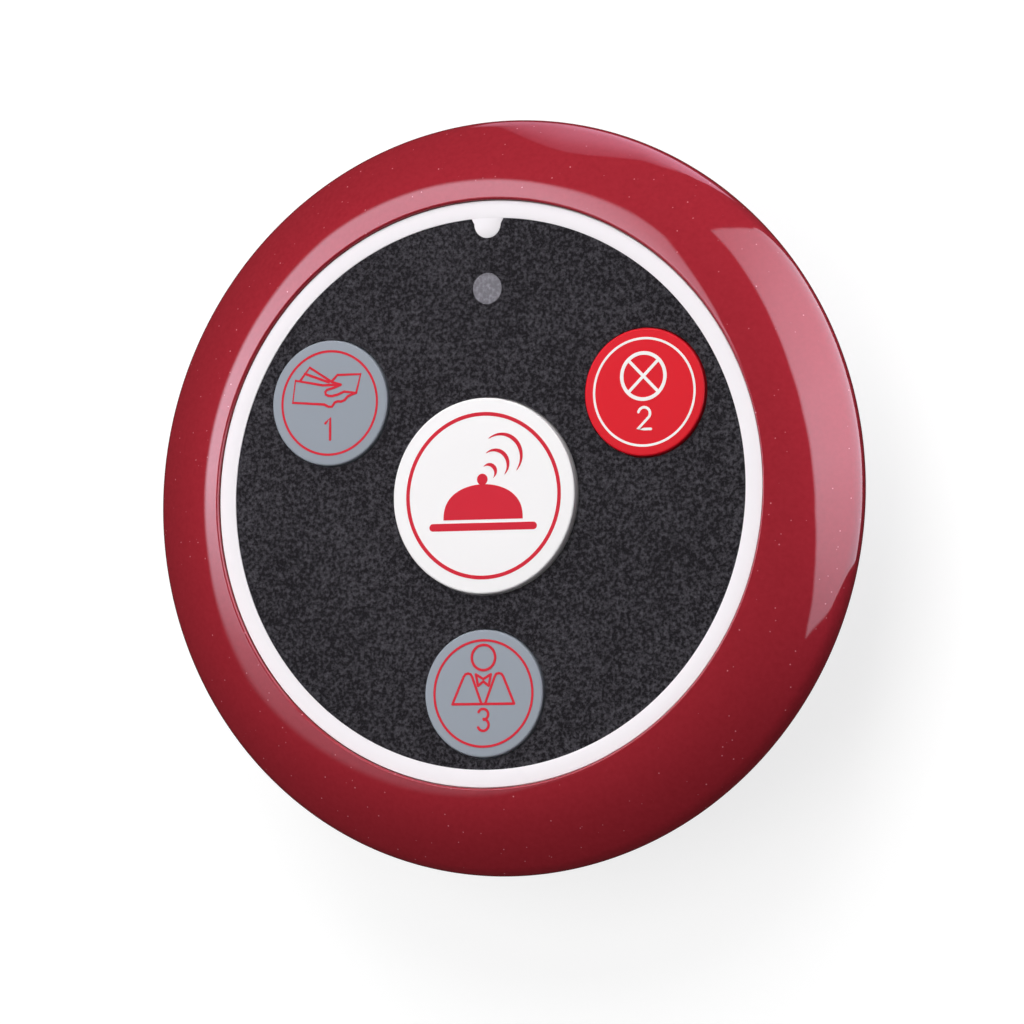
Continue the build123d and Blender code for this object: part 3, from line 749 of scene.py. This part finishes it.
studio = {
    "floorHalf": 4.0,
    "floorPaper": "#a0a0a0",
    "floorLift": 0.72,  # added for the camera, so that the paper reads as white and keeps the shadow
    "skyLight": 0.1,
    "floorLight": 0.5,  # the white floor's glow on what faces down
    "horizon": 0.1,  # how far up and down the two blend, as the sine of the height
    "mirroredDark": 0.02,  # what the lacquer mirrors beside the cards
    "cardDistance": 2.0, "cardRows": 40, "cardColumns": 120,
}
lamps = {
    # name: place, size, power in watts
    "backLamp": ((-0.2, 1.6, 1.3), 1.4, 32.0),
    "topLamp": ((-0.6, 0.0, 2.4), 2.2, 35.0),
}
cards = {
    # Columns of (turn, lower edge, upper edge, glow): the edges are heights over the horizon in
    # degrees, and the turn is from +X towards +Y. A card's edges take "soft" degrees and its ends
    # "softEnds". One that fades starts at its upper edge with the share "start" of its glow and has
    # all of it "fade" degrees below. Both soft and fade are pairs of turn and degrees.
    "rightCard": {
        "columns": (
            (-31, 36, 38, 2.9), (-28, 33.5, 40.5, 3.1), (-22, 26, 43.5, 3.3), (-19.5, 21, 45, 3.5),
            (-17, 11, 46.5, 3.7), (-15, 0, 47.5, 3.9), (-13, -15, 48.3, 4.1), (-11, -46, 49.3, 4.3),
            (0, -46, 53.2, 5.0), (12, -46, 54.6, 5.8), (27, -46, 54.9, 5.8), (40, -46, 53.2, 5.2),
            (50, -46, 49.8, 4.8), (60, -46, 45, 3.9), (63, 15, 43.3, 3.6), (67, 25, 41, 3.2),
            (73, 37, 38.5, 2.9),
        ),
        "soft": ((-31, 2.5), (73, 2.5)), "softEnds": 1.0, "colour": "#f7edff",
    },
    "leftCard": {
        "columns": (
            (91, 56, 70, 3.2), (98, 51, 77, 3.4), (104, 49, 78, 4.2), (112, 46, 78, 5.0),
            (120, 41, 75, 5.7), (128, 36, 71, 5.7), (135, 32, 66, 5.5), (142, 29, 61, 5.6),
            (152, 29.5, 58, 6.3), (162, 30, 57, 7.9), (172, 30.5, 57, 8.2), (181, 31, 57, 4.7),
            (190, 28.5, 60, 2.1), (197, 28, 66, 1.5), (203, 33, 70, 1.25), (212, 42, 72, 1.1),
            (220, 49, 72, 0.9), (228, 56, 75, 0.6),
        ),
        "soft": ((91, 4), (184, 4), (197, 9), (228, 12)), "softEnds": 4.0, "colour": "#f7edff",
    },
    "backCard": {
        "columns": (
            (73, -35, -16, 2.4), (74.4, -35, -10, 3.0), (76.6, -35, 6, 3.5), (80, -35, 13, 3.7),
            (84, -35, 15.8, 3.5), (88, -35, 16.8, 3.3), (93, -35, 20.9, 3.2), (98, -35, 23.8, 3.0),
            (102, -35, 24, 2.6), (104.6, -35, 21.3, 2.2), (107, -35, 16.5, 1.9), (109.5, -35, 9.5, 1.7),
            (113, -35, -1.5, 1.5), (119, -35, -20, 1.3),
        ),
        "soft": ((73, 1.5), (119, 1.5)), "softEnds": 1.0, "colour": "#ffd6f6", "start": 0.32,
        "fade": ((74, 3), (80, 4), (84, 6), (92, 14), (98, 20), (104, 20), (112, 9)),
    },
}


def ease(t):
    # 3 t^2 - 2 t^3: from 0 to 1 with no corner at either end.
    t = np.clip(t, 0, 1)
    return t**2 * (3 - 2 * t)


def closing(count):
    # (1 - cos u) / 2: steps from 0 to 1 that close up towards both.
    return (1 - np.cos(np.linspace(0, pi, count))) / 2


def byTurn(turn, pairs):
    # The value at each turn, between pairs of turn and value.
    return np.interp(turn, *np.array(pairs).T)


def addFloor():
    half = studio["floorHalf"]
    mesh = bpy.data.meshes.new("floor")
    corners = [(-half, -half, 0), (half, -half, 0), (half, half, 0), (-half, half, 0)]
    mesh.from_pydata(corners, [], [(0, 1, 2, 3)])
    floor = newObject("floor", mesh)
    material, tree, shader = newMaterial("paperFloor", {
        "Base Color": studio["floorPaper"], "Roughness": 1.0, "Specular IOR Level": 0.0,
        "Emission Color": "#ffffff"})
    rays = addNode(tree, "LightPath").outputs
    seen = addMath(tree, "MAXIMUM", rays["Is Camera Ray"], rays["Is Transmission Ray"])
    setInputs(tree, shader, {"Emission Strength": addMath(tree, "MULTIPLY", seen, studio["floorLift"])})
    # Seen from below the floor is clear, so that the underside shows.
    below = addNode(tree, "NewGeometry").outputs["Backfacing"]
    clear = addNode(tree, "BsdfTransparent").outputs[0]
    side = addNode(tree, "MixShader", {}, {0: below, 1: shader.outputs[0], 2: clear})
    setInputs(tree, tree.nodes["Material Output"], {"Surface": side.outputs[0]})
    mesh.materials.append(material)
    floor.visible_glossy = floor.visible_diffuse = floor.visible_shadow = False


def addLamp(name, place, size, power):
    # An area lamp that looks at the origin and is not mirrored.
    data = bpy.data.lights.new(name, "AREA")
    data.size, data.energy = size, power
    lamp = newObject(name, data)
    lamp.location = place
    lamp.rotation_euler = Vector(place).to_track_quat("Z", "Y").to_euler()
    lamp.visible_glossy = False


def cardShape(look):
    # A sheet on a sphere round the object and its glow at each point:
    # (cos e cos a, cos e sin a, sin e) times the distance, for turn a and height e.
    turns, lows, highs, glows = np.array(look["columns"]).T
    turn = turns[0] + (turns[-1] - turns[0]) * closing(studio["cardColumns"])[None]
    low, high = np.interp(turn, turns, lows), np.interp(turn, turns, highs)
    height = low + closing(studio["cardRows"])[:, None] * (high - low)
    inside = np.minimum(height - low, high - height) / byTurn(turn, look["soft"])
    fromEnd = np.minimum(turn - turns[0], turns[-1] - turn) / look["softEnds"]
    level = np.interp(turn, turns, glows) * ease(np.minimum(inside, fromEnd))
    if "fade" in look:
        depth = ease((high - height) / byTurn(turn, look["fade"]))
        level = level * (look["start"] + (1 - look["start"]) * depth)
    a, e = np.radians(turn), np.radians(height)
    points = np.stack([np.cos(e) * np.cos(a), np.cos(e) * np.sin(a), np.sin(e)], axis=-1)
    return *gridShape(points * studio["cardDistance"]), level.ravel()


def addCard(name, look):
    # A glowing sheet that only reflections see.
    points, faces, level = cardShape(look)
    mesh = bpy.data.meshes.new(name)
    mesh.from_pydata(points, [], faces.tolist())
    mesh.attributes.new("glow", "FLOAT", "POINT").data.foreach_set("value", level)
    card = newObject(name, mesh)
    material = bpy.data.materials.new(name)
    material.use_nodes = True
    tree = material.node_tree
    tree.nodes.clear()
    stored = addNode(tree, "Attribute", {"attribute_name": "glow"}).outputs["Fac"]
    light = addNode(tree, "Emission", {}, {"Color": look["colour"], "Strength": stored})
    addNode(tree, "OutputMaterial", {}, {"Surface": light.outputs[0]})
    mesh.materials.append(material)
    card.visible_camera = card.visible_diffuse = card.visible_shadow = card.visible_transmission = False


def addRoom():
    # The camera sees a white room. What is lit by it gets a dim sky and, from below, the floor's glow.
    world = bpy.data.worlds.new("room")
    bpy.context.scene.world = world
    world.use_nodes = True
    tree = world.node_tree
    rays = addNode(tree, "LightPath").outputs
    across = addNode(tree, "SeparateXYZ", {}, {0: addNode(tree, "TexCoord").outputs["Generated"]})
    light = addRange(tree, across.outputs["Z"], -studio["horizon"], studio["horizon"],
                     studio["floorLight"], studio["skyLight"])
    mirrored = addMix(tree, rays["Is Glossy Ray"], light, studio["mirroredDark"], "FLOAT")
    seen = addMath(tree, "MAXIMUM", rays["Is Camera Ray"], rays["Is Transmission Ray"])
    level = addMix(tree, seen, mirrored, 1.0, "FLOAT")
    setInputs(tree, tree.nodes["Background"], {"Color": "#ffffff", "Strength": level})


addFloor()
addRoom()
for name, values in lamps.items():
    addLamp(name, *values)
for name, look in cards.items():
    addCard(name, look)
print("stage: room and lamps")
